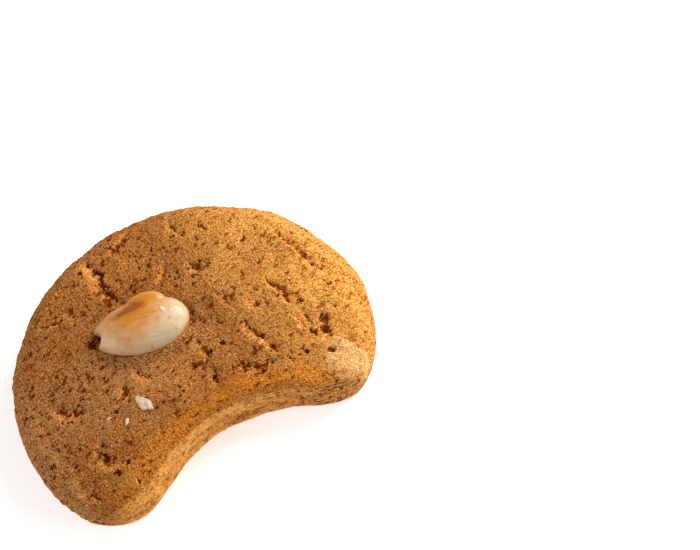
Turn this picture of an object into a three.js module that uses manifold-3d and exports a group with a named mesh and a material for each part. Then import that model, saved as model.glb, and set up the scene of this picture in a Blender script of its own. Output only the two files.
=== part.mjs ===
// A crescent-shaped gingerbread biscuit (lebkuchen) with one blanched almond pressed into its baked crust.
// Lengths are millimetres and +Z is up. The origin is on the table, under the middle of the biscuit's box:
// +X runs along the crescent from tip to tip, and +Y points from the hollow front edge to the round back.
import * as THREE from "three";
import { mergeVertices } from "three/addons/utils/BufferGeometryUtils.js";
import Module from "manifold-3d";

// Outline in plan: two circles and two rounded tips, drawn out a little along X
const BACK_RADIUS = 36;
const HOLLOW_RADIUS = 30.4;
const HOLLOW_DISTANCE = 44.9; // from the centre of the back's circle to the centre of the hollow's
const TIP_RADIUS = 10.7;
const STRETCH_X = 1.067;
const HEART_BACK = 9; // behind the centre of the back's circle, the heart sees the whole outline

// Section through the edge, from the table up: the cut wall leans in and ends at wallTop, and the rim then
// reaches in by run and climbs by rise. The hollow has a taller wall and a crisper rim than the back.
const FOOT_RADIUS = 1.4; // soft lower edge
const BACK_EDGE = { wallTop: 6.3, lean: 0, run: 3.6, rise: 3.2 };
const HOLLOW_EDGE = { wallTop: 8.0, lean: 1.1, run: 1.9, rise: 1.5 };
const EDGE_BLEND = 6; // round the tips one edge turns into the other
const DOME_RISE = 1.5; // the crust swells this much more towards the middle
const DOME_REACH = new THREE.Vector2(42, 34); // where that swelling has died away
const RIM_LEANS = [56, 36, 17, 0]; // rows of facets on the rim, degrees above its lower edge
const FOOT_LEANS = [0, 45, 90]; // and on the foot, degrees below its upper edge

// Gentle swells of the crust: sine waves in turned directions, each shorter and lower than the last
const SWELL_COUNT = 7;
const SWELL_LENGTH = 26;
const SWELL_HEIGHT = 0.2;
const SWELL_SHRINK = 0.78;
const GOLDEN_TURN = Math.PI * (3 - Math.sqrt(5));
const WALL_WOBBLE = 0.22; // unevenness of the cut wall
const WALL_SLANT = new THREE.Vector2(3, -2); // shift of its waves along X and Y for each unit of height

// Tears where the crust split in the oven: x, y, heading in degrees, length, width, depth
const TEARS = [
  [-7.3, 18.6, 93, 11.5, 1.6, 1.7],
  [0.2, 24.3, 25, 4.8, 1.2, 1.1],
  [11.5, 20.3, 97, 4.6, 0.8, 0.8],
  [-19.2, 15.0, -12, 7.4, 0.8, 0.8],
  [4.5, 12.9, 45, 4.4, 0.9, 0.8],
  [11.4, 10.3, -48, 3.4, 1.5, 1.3],
  [30.6, 3.3, -74, 12.5, 1.1, 0.8],
  [23.3, -4.3, -76, 6.4, 1.2, 1.1],
  [25.2, -14.6, -84, 6.4, 1.3, 1.1],
  [27.7, -15.9, -104, 5.2, 2.0, 1.4],
  [12.3, 1.0, -67, 3.0, 0.8, 0.8],
  [17.9, -3.7, -46, 3.2, 1.0, 0.8],
  [15.2, -11.0, -71, 9.6, 1.2, 1.2],
  [30.1, -21.3, -83, 3.0, 0.9, 0.7],
  [-26.2, -4.4, -33, 5.2, 1.5, 1.3],
  [-14.6, -7.3, -110, 3.6, 1.1, 1.0],
  [-17.8, -9.4, -137, 3.4, 0.8, 0.7],
  [-24.4, -16.6, -98, 5.0, 1.4, 1.2],
  [-21.8, -19.9, -24, 5.0, 1.2, 1.1],
  [-30.9, -22.6, -44, 3.6, 1.0, 0.8],
  [-9.6, -5.2, -58, 4.4, 1.1, 0.9],
  [3.7, -7.0, -96, 4.2, 1.1, 1.0],
  [2.8, -13.7, -90, 2.8, 1.0, 0.9],
  [11.4, -16.2, -24, 6.6, 1.3, 1.0],
];
const TEAR_STEP = 1.1; // length between the stations of a tear
const TEAR_SWAY = 0.4; // how far a tear wanders off its line
const TEAR_SWAY_LENGTH = 7.5; // and over what length it comes back
const TEAR_RAG = 0.22; // how unevenly wide it is, as a share of its width
const TEAR_RAG_LENGTH = 2.7;
const TEAR_END = 0.3; // share of the width that is left at its ends
const TEAR_PHASE = 2.1; // each tear starts its wander this much further on, in radians

// Pits where a bubble opened: x, y, radius
const PITS = [
  [-8.6, 12.6, 0.9],
  [-15.4, 6.3, 1.3],
  [22.3, 10.5, 0.7],
  [7.8, -8.3, 0.9],
  [0.5, -9.5, 0.9],
  [21.5, -18.8, 0.7],
  [25.6, -21.2, 0.9],
  [-23.9, -21.4, 0.8],
  [23.5, -26.8, 0.7],
  [11.9, -18.0, 0.7],
  [26.0, -8.5, 0.9],
];

// Creases along the cut wall: share of the way round at its start and end, height, width, depth
const WALL_CREASES = [
  [0.775, 0.895, 3.4, 0.9, 0.6],
  [0.815, 0.915, 5.2, 0.8, 0.5],
  [0.64, 0.71, 3.6, 0.8, 0.5],
  [0.96, 1.05, 3.2, 0.8, 0.5],
  [0.2, 0.29, 3.9, 0.8, 0.5],
  [0.42, 0.51, 2.9, 0.8, 0.5],
];
const CREASE_STEPS = 8;
const CREASE_SWAY = 0.3;
const CREASE_BENDS = 4; // radians of sway from its middle to either end

// Pale nut chips baked into the crust: x, y, heading in degrees, length, width, height
const CHIPS = [
  [-12.4, -11.0, -65, 4.7, 2.4, 1.2],
  [-17.1, -12.6, 49, 2.2, 1.1, 0.8],
  [-20.2, -9.7, 22, 1.4, 0.9, 0.7],
];

// Almond: its tip points to -X in its own frame, and its girdle is just above the crust
const ALMOND_LENGTH = 20.8;
const ALMOND_WIDTH = 12.2;
const ALMOND_CROWN = 3.9; // above the girdle
const ALMOND_BELLY = 2.8; // below the girdle, sunk in the crust
const ALMOND_TAPER = 0.08; // 0 is an ellipse, and more draws the tip out
const ALMOND_PLACE = new THREE.Vector2(-5.1, 3.95);
const ALMOND_HEADING = -15; // degrees
const ALMOND_RAISED = 0.5; // girdle above the crust
const SOCKET_GAP = 0.35;
const NOTCH_SIZE = new THREE.Vector2(2.0, 1.9); // half axes of the notch where the tip broke out
const NOTCH_PLACE = new THREE.Vector2(-10.2, -0.35);
const FLAP_SIZE = new THREE.Vector3(4.2, 2.2, 1.9); // half axes of the toasted flap along the far edge
const FLAP_PLACE = new THREE.Vector3(2.2, 4.5, 1.3);

// Fineness of the facets
const RINGS = 16; // rings of the top, each with eight points more than the one inside it
const COLUMNS = 8 * RINGS;
const ALMOND_SEGMENTS = 28;
const ALMOND_SLICES = 20;
const FLAP_SEGMENTS = 14;
const FLAP_SLICES = 10;
const NOTCH_SIDES = 16;
const CUT_CLEARANCE = 1; // how far a cutter stands out of the surface
const WELD = 1e-4; // points closer than this are one

const UP = new THREE.Vector3(0, 0, 1);
const wasm = await Module();
wasm.setup();

// Places that follow from the outline, in the frame of the back's circle
const tipCentre = (() => {
  const toBack = BACK_RADIUS - TIP_RADIUS;
  const toHollow = HOLLOW_RADIUS + TIP_RADIUS;
  const y = (toHollow ** 2 - toBack ** 2 - HOLLOW_DISTANCE ** 2) / (2 * HOLLOW_DISTANCE);
  return new THREE.Vector2(Math.sqrt(toBack ** 2 - y ** 2), y);
})();
const boxCentreY = (BACK_RADIUS + tipCentre.y - TIP_RADIUS) / 2;
const backAngle = Math.atan2(tipCentre.y, tipCentre.x); // where the back meets the right tip
const hollowAngle = Math.atan2(tipCentre.y + HOLLOW_DISTANCE, tipCentre.x); // where the hollow meets it
const heart = new THREE.Vector2(0, HEART_BACK - boxCentreY);

// The outline as five arcs, anticlockwise from the middle of the hollow. Sign is -1 where it is hollow.
const arcAbout = (centre, radius, sign, from, to) => ({ centre, radius, sign, from, to });
const backCentre = new THREE.Vector2(0, 0);
const hollowCentre = new THREE.Vector2(0, -HOLLOW_DISTANCE);
const leftTipCentre = new THREE.Vector2(-tipCentre.x, tipCentre.y);
const ARCS = [
  arcAbout(hollowCentre, HOLLOW_RADIUS, -1, Math.PI / 2, hollowAngle),
  arcAbout(tipCentre, TIP_RADIUS, 1, hollowAngle - Math.PI, backAngle),
  arcAbout(backCentre, BACK_RADIUS, 1, backAngle, Math.PI - backAngle),
  arcAbout(leftTipCentre, TIP_RADIUS, 1, Math.PI - backAngle, 2 * Math.PI - hollowAngle),
  arcAbout(hollowCentre, HOLLOW_RADIUS, -1, Math.PI - hollowAngle, Math.PI / 2),
];
const arcLength = (arc) => Math.abs(arc.to - arc.from) * arc.radius;
const PERIMETER = ARCS.reduce((sum, arc) => sum + arcLength(arc), 0);

// The outline's point a share of the way round, moved in by an inset. The share is 0 at the right end,
// 0.25 at the back and 0.75 in the middle of the hollow.
function outlinePoint(share, inset) {
  let walk = THREE.MathUtils.euclideanModulo(share + 0.25, 1) * PERIMETER;
  let index = 0;
  while (index + 1 < ARCS.length && walk > arcLength(ARCS[index])) {
    walk -= arcLength(ARCS[index]);
    index += 1;
  }
  const { centre, radius, sign, from, to } = ARCS[index];
  const angle = THREE.MathUtils.lerp(from, to, walk / arcLength(ARCS[index]));
  const reach = radius - sign * inset;
  return new THREE.Vector2(
    STRETCH_X * (centre.x + reach * Math.cos(angle)),
    centre.y + reach * Math.sin(angle) - boxCentreY,
  );
}

// How far inside the outline a point lies
function insetAt(x, y) {
  const px = Math.abs(x / STRETCH_X);
  const py = y + boxCentreY;
  const aroundTip = Math.atan2(py - tipCentre.y, px - tipCentre.x);
  if (aroundTip > hollowAngle - Math.PI && aroundTip < backAngle)
    return TIP_RADIUS - Math.hypot(px - tipCentre.x, py - tipCentre.y);
  return Math.min(BACK_RADIUS - Math.hypot(px, py), Math.hypot(px, py + HOLLOW_DISTANCE) - HOLLOW_RADIUS);
}

function swellAt(x, y) {
  let height = 0;
  for (let i = 0; i < SWELL_COUNT; i++) {
    const turn = i * GOLDEN_TURN;
    const shrink = SWELL_SHRINK ** i;
    const phase = (2 * Math.PI * (x * Math.cos(turn) + y * Math.sin(turn))) / (SWELL_LENGTH * shrink);
    height += SWELL_HEIGHT * shrink * Math.sin(phase + i * i);
  }
  return height;
}

// Section of the edge that is nearest to a point
function edgeAt({ x, y }) {
  const px = x / STRETCH_X;
  const py = y + boxCentreY;
  const fromBack = BACK_RADIUS - Math.hypot(px, py);
  const fromHollow = Math.hypot(px, py + HOLLOW_DISTANCE) - HOLLOW_RADIUS;
  const share = THREE.MathUtils.smoothstep(fromBack - fromHollow, -EDGE_BLEND, EDGE_BLEND);
  const between = (size) => THREE.MathUtils.lerp(BACK_EDGE[size], HOLLOW_EDGE[size], share);
  return { wallTop: between("wallTop"), lean: between("lean"), run: between("run"), rise: between("rise") };
}

// How far the cut wall has leaned in at a height
const wallInset = ({ wallTop, lean }, height) =>
  lean * Math.max(0, (height - FOOT_RADIUS) / (wallTop - FOOT_RADIUS));

// Height of the untorn crust above the table
function crustHeight(x, y) {
  const { wallTop, lean, run, rise } = edgeAt({ x, y });
  const inset = THREE.MathUtils.clamp(insetAt(x, y) - lean, 0, run);
  const rim = rise * Math.sqrt(1 - (1 - inset / run) ** 2);
  const dome = DOME_RISE * (1 - (x / DOME_REACH.x) ** 2 - ((y - heart.y) / DOME_REACH.y) ** 2);
  return wallTop + rim + THREE.MathUtils.smoothstep(inset, 0, run) * (dome + swellAt(x, y));
}

// Triangles of a closed surface, collected from flat faces given anticlockwise as seen from outside
class Surface {
  corners = [];

  face(...points) {
    for (let i = 2; i < points.length; i++) this.corners.push(points[0], points[i - 1], points[i]);
  }

  solid() {
    return solidOf(new THREE.BufferGeometry().setFromPoints(this.corners));
  }
}

function solidOf(geometry) {
  const bare = geometry.clone();
  bare.deleteAttribute("normal");
  bare.deleteAttribute("uv");
  const merged = mergeVertices(bare, WELD);
  return new wasm.Manifold(
    new wasm.Mesh({
      numProp: 3,
      vertProperties: merged.attributes.position.array,
      triVerts: new Uint32Array(merged.index.array),
    }),
  );
}

function geometryOf(solid) {
  const { vertProperties, triVerts } = solid.getMesh();
  const geometry = new THREE.BufferGeometry();
  geometry.setAttribute("position", new THREE.BufferAttribute(vertProperties, 3));
  geometry.setIndex(new THREE.BufferAttribute(triVerts, 1));
  geometry.computeVertexNormals();
  return geometry;
}

// Rows of the edge, from the top sheet down to the table. Each gives an inset and a height for a section of
// the edge, and null stands for the crust's own height.
const EDGE_ROWS = [
  ...RIM_LEANS.map((degrees) => {
    const angle = THREE.MathUtils.degToRad(degrees);
    return ({ lean, run }) => [lean + run * (1 - Math.cos(angle)), null];
  }),
  (edge) => {
    const height = (edge.wallTop + FOOT_RADIUS) / 2;
    return [wallInset(edge, height), height];
  },
  ...FOOT_LEANS.map((degrees) => {
    const angle = THREE.MathUtils.degToRad(degrees);
    return () => [FOOT_RADIUS * (1 - Math.cos(angle)), FOOT_RADIUS * (1 - Math.sin(angle))];
  }),
];

const edgeBeside = (share) => edgeAt(outlinePoint(share, 0));

function edgePoint(column, row) {
  const share = column / COLUMNS;
  const [inset, height] = row(edgeBeside(share));
  const plain = outlinePoint(share, inset);
  if (height === null) return new THREE.Vector3(plain.x, plain.y, crustHeight(plain.x, plain.y));
  const wave = swellAt(plain.x + WALL_SLANT.x * height, plain.y + WALL_SLANT.y * height) / SWELL_HEIGHT;
  const uneven = outlinePoint(share, height > 0 ? inset - WALL_WOBBLE * wave : inset);
  return new THREE.Vector3(uneven.x, uneven.y, height);
}

// A square grid folded onto rings: the ring, 0 to 1, and the share of the way round of a grid point
function foldToRing(a, b) {
  const ring = Math.max(Math.abs(a), Math.abs(b));
  if (ring === 0) return [0, 0];
  if (a === ring) return [ring, b / ring / 8];
  if (b === ring) return [ring, 1 / 4 - a / ring / 8];
  if (a === -ring) return [ring, 1 / 2 - b / ring / 8];
  return [ring, 3 / 4 + a / ring / 8];
}

function topPoint(column, row) {
  const [ring, share] = foldToRing(column / RINGS - 1, row / RINGS - 1);
  const [topInset] = EDGE_ROWS[0](edgeBeside(share));
  const place = heart.clone().lerp(outlinePoint(share, topInset), ring);
  return new THREE.Vector3(place.x, place.y, crustHeight(place.x, place.y));
}

// The whole biscuit before tears, chips and socket: a domed top, the edge, and a flat underside
function loafSolid() {
  const loaf = new Surface();
  for (let i = 0; i < 2 * RINGS; i++)
    for (let j = 0; j < 2 * RINGS; j++)
      loaf.face(topPoint(i, j), topPoint(i + 1, j), topPoint(i + 1, j + 1), topPoint(i, j + 1));
  const middle = new THREE.Vector3(heart.x, heart.y, 0);
  const foot = EDGE_ROWS.at(-1);
  for (let c = 0; c < COLUMNS; c++) {
    for (let r = 0; r + 1 < EDGE_ROWS.length; r++) {
      const above = EDGE_ROWS[r];
      const below = EDGE_ROWS[r + 1];
      loaf.face(edgePoint(c, above), edgePoint(c, below), edgePoint(c + 1, below), edgePoint(c + 1, above));
    }
    loaf.face(middle, edgePoint(c + 1, foot), edgePoint(c, foot));
  }
  return loaf.solid();
}

// A V-shaped trough through a row of stations. Each has its point on the surface, the way out of it, the way
// to the left, half its width and its depth.
function troughSolid(stations) {
  const sections = stations.map(({ point, out, left, half, depth }) => {
    const lip = half * (1 + CUT_CLEARANCE / depth);
    const lid = point.clone().addScaledVector(out, CUT_CLEARANCE);
    return {
      left: lid.clone().addScaledVector(left, lip),
      right: lid.clone().addScaledVector(left, -lip),
      apex: point.clone().addScaledVector(out, -depth),
    };
  });
  const trough = new Surface();
  const first = sections[0];
  const last = sections.at(-1);
  trough.face(first.left, first.apex, first.right);
  trough.face(last.right, last.apex, last.left);
  for (let i = 0; i + 1 < sections.length; i++) {
    const here = sections[i];
    const next = sections[i + 1];
    trough.face(here.right, next.right, next.left, here.left);
    trough.face(here.right, here.apex, next.apex, next.right);
    trough.face(here.left, next.left, next.apex, here.apex);
  }
  return trough.solid();
}

// Share of the full width along a tear or crease, t running from -1 to 1
const taper = (t) => TEAR_END + (1 - TEAR_END) * Math.sqrt(1 - t * t);

function tearSolid([x, y, heading, length, width, depth], index) {
  const angle = THREE.MathUtils.degToRad(heading);
  const along = new THREE.Vector2(Math.cos(angle), Math.sin(angle));
  const left = new THREE.Vector3(-along.y, along.x, 0);
  const steps = Math.ceil(length / TEAR_STEP);
  const stations = [];
  for (let i = 0; i <= steps; i++) {
    const t = (2 * i) / steps - 1;
    const run = (t * length) / 2;
    const phase = TEAR_PHASE * index;
    const sway = TEAR_SWAY * Math.sin((2 * Math.PI * run) / TEAR_SWAY_LENGTH + phase);
    const px = x + along.x * run + left.x * sway;
    const py = y + along.y * run + left.y * sway;
    const size = taper(t) * (1 + TEAR_RAG * Math.sin((2 * Math.PI * run) / TEAR_RAG_LENGTH + phase));
    const point = new THREE.Vector3(px, py, crustHeight(px, py));
    stations.push({ point, out: UP, left, half: (size * width) / 2, depth: size * depth });
  }
  return troughSolid(stations);
}

function creaseSolid([from, to, height, width, depth], index) {
  const stations = [];
  for (let i = 0; i <= CREASE_STEPS; i++) {
    const t = (2 * i) / CREASE_STEPS - 1;
    const share = THREE.MathUtils.lerp(from, to, i / CREASE_STEPS);
    const z = height + CREASE_SWAY * Math.sin(CREASE_BENDS * t + TEAR_PHASE * index);
    const on = outlinePoint(share, wallInset(edgeBeside(share), z));
    const out = new THREE.Vector3(...outlinePoint(share, 0).sub(outlinePoint(share, 1)).normalize(), 0);
    const half = (taper(t) * width) / 2;
    stations.push({ point: new THREE.Vector3(on.x, on.y, z), out, left: UP, half, depth: taper(t) * depth });
  }
  return troughSolid(stations);
}

// A round lump or pit on the crust
function lumpSolid(x, y, heading, length, width, height) {
  const lump = new THREE.IcosahedronGeometry(1, 1);
  lump.scale(length / 2, width / 2, height / 2);
  lump.rotateZ(THREE.MathUtils.degToRad(heading));
  lump.translate(x, y, crustHeight(x, y));
  return solidOf(lump);
}

function biscuitSolid(socket) {
  let biscuit = loafSolid();
  for (const chip of CHIPS) biscuit = biscuit.add(lumpSolid(...chip));
  TEARS.forEach((tear, index) => (biscuit = biscuit.subtract(tearSolid(tear, index))));
  WALL_CREASES.forEach((crease, index) => (biscuit = biscuit.subtract(creaseSolid(crease, index))));
  for (const [x, y, radius] of PITS)
    biscuit = biscuit.subtract(lumpSolid(x, y, 0, 2 * radius, 2 * radius, 2 * radius));
  return biscuit.subtract(socket);
}

// The kernel, grown all round by a margin: a sphere drawn out to a tip at -X, with a flap along its far edge
function kernelSolid(margin) {
  const body = new THREE.SphereGeometry(1, ALMOND_SEGMENTS, ALMOND_SLICES).rotateZ(-Math.PI / 2);
  const position = body.attributes.position;
  const fullest = Math.sqrt(1 - (ALMOND_TAPER / (2 + ALMOND_TAPER)) ** 2);
  const widest = fullest * ((1 + ALMOND_TAPER / (2 + ALMOND_TAPER)) / 2) ** ALMOND_TAPER;
  for (let i = 0; i < position.count; i++) {
    const x = position.getX(i);
    const full = Math.max(0, (1 + x) / 2) ** ALMOND_TAPER / widest;
    const rise = position.getZ(i) > 0 ? ALMOND_CROWN : ALMOND_BELLY;
    position.setXYZ(
      i,
      (ALMOND_LENGTH / 2 + margin) * x,
      (ALMOND_WIDTH / 2 + margin) * full * position.getY(i),
      (rise + margin) * full * position.getZ(i),
    );
  }
  const flap = new THREE.SphereGeometry(1, FLAP_SEGMENTS, FLAP_SLICES);
  flap.scale(FLAP_SIZE.x + margin, FLAP_SIZE.y + margin, FLAP_SIZE.z + margin);
  flap.translate(...FLAP_PLACE);
  return solidOf(body).add(solidOf(flap));
}

// The almond itself has a notch at its tip
function almondSolid() {
  const through = 2 * (ALMOND_CROWN + ALMOND_BELLY);
  const notch = new THREE.CylinderGeometry(1, 1, through, NOTCH_SIDES).rotateX(Math.PI / 2);
  notch.scale(NOTCH_SIZE.x, NOTCH_SIZE.y, 1);
  notch.translate(NOTCH_PLACE.x, NOTCH_PLACE.y, 0);
  return kernelSolid(0).subtract(solidOf(notch));
}

function namedMesh(name, solid, look) {
  const mesh = new THREE.Mesh(geometryOf(solid), new THREE.MeshStandardMaterial(look));
  mesh.name = name;
  return mesh;
}

const NUT = { color: 0xe3c79c, roughness: 0.5, metalness: 0 };
const CRUST = { color: 0xb87a3d, roughness: 0.95, metalness: 0 };

const almond = namedMesh("almond", almondSolid(), NUT);
almond.position.set(
  ALMOND_PLACE.x,
  ALMOND_PLACE.y,
  crustHeight(ALMOND_PLACE.x, ALMOND_PLACE.y) + ALMOND_RAISED,
);
almond.rotation.z = THREE.MathUtils.degToRad(ALMOND_HEADING);
almond.updateMatrix();

const socket = solidOf(geometryOf(kernelSolid(SOCKET_GAP)).applyMatrix4(almond.matrix));
const biscuit = namedMesh("biscuit", biscuitSolid(socket), CRUST);

const lebkuchen = new THREE.Group();
lebkuchen.add(biscuit, almond);

export default lebkuchen;
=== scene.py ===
import math
from types import SimpleNamespace

import bpy
import numpy as np
from mathutils import Matrix, Vector, noise


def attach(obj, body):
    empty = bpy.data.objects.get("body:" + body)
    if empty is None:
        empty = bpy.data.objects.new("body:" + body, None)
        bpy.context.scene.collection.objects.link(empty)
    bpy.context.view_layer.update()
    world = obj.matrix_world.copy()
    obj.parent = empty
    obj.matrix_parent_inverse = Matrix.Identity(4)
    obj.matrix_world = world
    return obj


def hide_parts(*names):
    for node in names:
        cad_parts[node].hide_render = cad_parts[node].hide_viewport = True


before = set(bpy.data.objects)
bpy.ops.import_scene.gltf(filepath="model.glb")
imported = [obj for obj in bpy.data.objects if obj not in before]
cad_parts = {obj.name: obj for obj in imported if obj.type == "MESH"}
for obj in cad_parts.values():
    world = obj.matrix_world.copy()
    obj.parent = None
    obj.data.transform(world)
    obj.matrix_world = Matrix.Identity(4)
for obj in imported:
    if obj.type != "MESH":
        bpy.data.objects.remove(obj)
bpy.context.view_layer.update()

MM = 0.001

# Noise is sampled in a turned frame, so that its lattice doesn't line up with the crust
NOISE_TURN = np.array(Matrix.Rotation(0.9, 3, Vector((1, 0.6, 0.3))))

# Outline in plan: two circles and two rounded tips, drawn out a little along X
BACK_RADIUS = 36
HOLLOW_RADIUS = 30.4
HOLLOW_DISTANCE = 44.9
TIP_RADIUS = 10.7
STRETCH_X = 1.067
HEART_BACK = 9

# Section through the edge: the cut wall leans in up to its top, and the rim then reaches in and climbs.
# Each row gives the wall's top, its lean, the rim's run and its rise.
FOOT_RADIUS = 1.4
BACK_EDGE = np.array((6.3, 0, 3.6, 3.2))
HOLLOW_EDGE = np.array((8.0, 1.1, 1.9, 1.5))
EDGE_BLEND = 6
DOME_RISE = 1.5
DOME_REACH = (42, 34)

# Gentle swells of the crust and of the cut wall
SWELL_COUNT = 7
SWELL_LENGTH = 26
SWELL_HEIGHT = 0.2
SWELL_SHRINK = 0.78
GOLDEN_TURN = math.pi * (3 - math.sqrt(5))
WALL_WOBBLE = 0.22
WALL_SLANT = (3, -2)
WALL_FADE = (4, 6.3)

# Places where the edge lies a little off the drawn outline: x, y, reach, and its shift along X and Y
EDGE_SHIFTS = [
    (1.5, -22.0, 9, 0, 1.1),
    (-37.0, 3.0, 15, 0.45, 0),
    (-31.0, -26.5, 8, 0.2, 0.4),
    (33.0, -25.0, 5, -0.5, 0.4),
    (38.3, -9.6, 7, 0.9, 0),
]
SHIFT_FADE = (10, 5)

# Noises of the crust: squeeze along X, Y and Z, size of the bumps, octaves, and a shift to set each apart
NOISES = {
    "broad": ((1, 1, 1), 9, 1, 0),
    "middling": ((1, 1, 1), 3, 2, 31),
    "ragged": ((1, 1, 2.6), 0.95, 4, 17),
    "fine": ((1, 1, 2), 0.65, 2, 71),
    "layers": ((0.16, 0.16, 1), 0.7, 2, 47),
}

# Fineness of the crust's mesh
RINGS = 128
COLUMNS = 8 * RINGS
RIM_ROWS = 8
RIM_LEAN = math.radians(56)
WALL_ROWS = 18
FOOT_ROWS = 3
BASE_ROWS = 2

# Tears where the crust split in the oven: x, y, heading in degrees, length, width, depth
TEARS = [
    (-7.3, 18.6, 93, 11.5, 1.6, 1.7),
    (0.2, 24.3, 25, 4.8, 1.2, 1.1),
    (11.5, 20.3, 97, 4.6, 0.8, 0.8),
    (-19.2, 15.0, -12, 7.4, 0.8, 0.8),
    (4.5, 12.9, 45, 4.4, 0.9, 0.8),
    (11.4, 10.3, -48, 3.4, 1.5, 1.3),
    (30.6, 3.3, -74, 12.5, 1.1, 0.8),
    (23.3, -4.3, -76, 6.4, 1.2, 1.1),
    (25.2, -14.6, -84, 6.4, 1.3, 1.1),
    (27.7, -15.9, -104, 5.2, 2.0, 1.4),
    (12.3, 1.0, -67, 3.0, 0.8, 0.8),
    (17.9, -3.7, -46, 3.2, 1.0, 0.8),
    (15.2, -11.0, -71, 9.6, 1.2, 1.2),
    (30.1, -21.3, -83, 3.0, 0.9, 0.7),
    (-26.2, -4.4, -33, 5.2, 1.5, 1.3),
    (-14.6, -7.3, -110, 3.6, 1.1, 1.0),
    (-17.8, -9.4, -137, 3.4, 0.8, 0.7),
    (-24.4, -16.6, -98, 5.0, 1.4, 1.2),
    (-21.8, -19.9, -24, 5.0, 1.2, 1.1),
    (-30.9, -22.6, -44, 3.6, 1.0, 0.8),
    (-9.6, -5.2, -58, 4.4, 1.1, 0.9),
    (3.7, -7.0, -96, 4.2, 1.1, 1.0),
    (2.8, -13.7, -90, 2.8, 1.0, 0.9),
    (11.4, -16.2, -24, 6.6, 1.3, 1.0),
]
TEAR_SWAY = 0.4
TEAR_SWAY_LENGTH = 7.5
TEAR_END = 0.3
TEAR_PHASE = 2.1

# Short tears between the long ones, too small for the solid, drawn from a seed: half the box that they are
# drawn in, least distances from the edge, the hollow and the almond, mean and spread of their headings in
# degrees, and ranges of their length, width and depth
SHORT_TEAR_COUNT = 70
SHORT_TEAR_SEED = 11
SHORT_TEAR_BOX = (38, 29)
SHORT_TEAR_CLEAR = (3, 6, 1)
SHORT_TEAR_HEADING = (-75, 40)
SHORT_TEAR_SIZES = [(1.2, 3.4), (0.5, 0.9), (0.5, 0.9)]

# Ledges where a thin flake of crust ends, higher on their -X side: x, y, heading in degrees, length, height
FLOUR_LEDGE = (30.75, -23.2, -61, 12.0, 0.75)
LEDGES = [
    (30.7, 0.6, -76, 15.5, 0.7),
    (22.9, -4.6, -70, 6.5, 0.5),
    (23.8, -13.6, -70, 8.2, 0.65),
    FLOUR_LEDGE,
    (14.2, -11.2, -65, 6.7, 0.5),
    (-21.2, -25.6, -80, 3.2, 0.45),
]

# Pits where a bubble opened: x, y, radius
PITS = [
    (-8.6, 12.6, 0.9),
    (-15.4, 6.3, 1.3),
    (22.3, 10.5, 0.7),
    (7.8, -8.3, 0.9),
    (0.5, -9.5, 0.9),
    (21.5, -18.8, 0.7),
    (25.6, -21.2, 0.9),
    (-23.9, -21.4, 0.8),
    (23.6, -27.9, 0.9),
    (11.9, -18.0, 0.7),
    (26.0, -8.5, 0.7),
]

# More places where crumbs broke out, too small for the solid: x, y, radius
SMALL_PITS = [
    (-24.7, -17.5, 1.3),
    (-21.0, -20.3, 0.9),
    (-28.2, -3.0, 0.7),
    (-25.5, -4.7, 0.8),
    (-14.8, -7.3, 0.7),
    (-18.1, -9.7, 0.6),
    (-35.2, -12.9, 0.7),
    (-21.0, -25.4, 0.6),
    (2.5, -14.0, 0.6),
    (8.8, -15.4, 0.7),
    (4.9, -8.6, 0.7),
    (16.2, -14.0, 0.7),
    (31.2, 0.1, 0.8),
    (28.7, -14.4, 1.0),
    (27.1, -16.4, 1.2),
    (26.1, -21.6, 1.1),
    (11.5, 10.1, 0.8),
]

# Depth of the holes that noise opens in the crust away from tears and pits
HOLE_DEPTH = 0.35

# A floured patch runs up to its ledge. It fades in between two distances across the ledge, along it and
# above the table.
FLOUR_ACROSS = (-9, -3.6)
FLOUR_ALONG = (-7, -2)
FLOUR_ABOVE = (1, 4)

# Zones of the crust painted lighter, and one that is duller: x, y, reach along X and Y. The first, below
# the almond, is painted light that lifts the almond's shadow; the other two are lighter patches.
LIGHTER_ZONES_AND_SHADOW_LIFT = [
    (-3.0, -10.0, 9, 6),
    (-5.0, 21.0, 12, 7),
    (-17.5, -24.5, 7, 3.5),
]
DULL_ZONE = (-16.0, -4.0, 22, 9)

# Spans along X in which the crust turns dull or golden, and the cut wall gets painted shade, dimmer painted
# shade, or turns ruddy and layered. The golden crust is partly its own colour and partly painted light,
# lighter towards the key lamp's side.
DULL_SPAN = (-28, -35)
GOLDEN_SPAN = (5, 33)
WALL_SHADE_SPAN = (0, 26)
WALL_DIM_SHADE_SPAN = (-6, -18)
RUDDY_SPAN = (4, 16)

# A browner rim along the hollow, partly the crust's own browning and partly painted shade where the crust
# turns down to the cut wall: how far inside the edge its middle is, and its spread
RIM_INSET = 3.2
RIM_SPREAD = 2.6

# Colours of the crust's zones, each laid over those before it: zone, colour on a screen, strength. Part of
# the golden, rim, light and wall colours is painted light and shade.
ZONE_COLOURS = [
    ("dull", (180, 137, 96), 0.6),
    ("golden", (233, 178, 96), 1),
    ("rim", (206, 132, 36), 0.8),
    # Lighter zones; below the almond this is painted light over the almond's shadow
    ("light", (208, 144, 78), 0.42),
    ("wall", (255, 190, 102), 0.92),
]
RUDDY_TINT = (0.95, 0.84, 0.86, 1)

# Creases along the cut wall: share of the way round at its start and end, height, width, depth
WALL_CREASES = [
    (0.79, 0.895, 3.6, 0.8, 0.5),
    (0.815, 0.915, 5.2, 0.8, 0.5),
    (0.64, 0.71, 3.6, 0.8, 0.5),
    (0.96, 1.05, 3.2, 0.8, 0.5),
    (0.2, 0.29, 3.9, 0.8, 0.5),
    (0.42, 0.51, 2.9, 0.8, 0.5),
]
CREASE_SWAY = 0.3
CREASE_BENDS = 4

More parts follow.
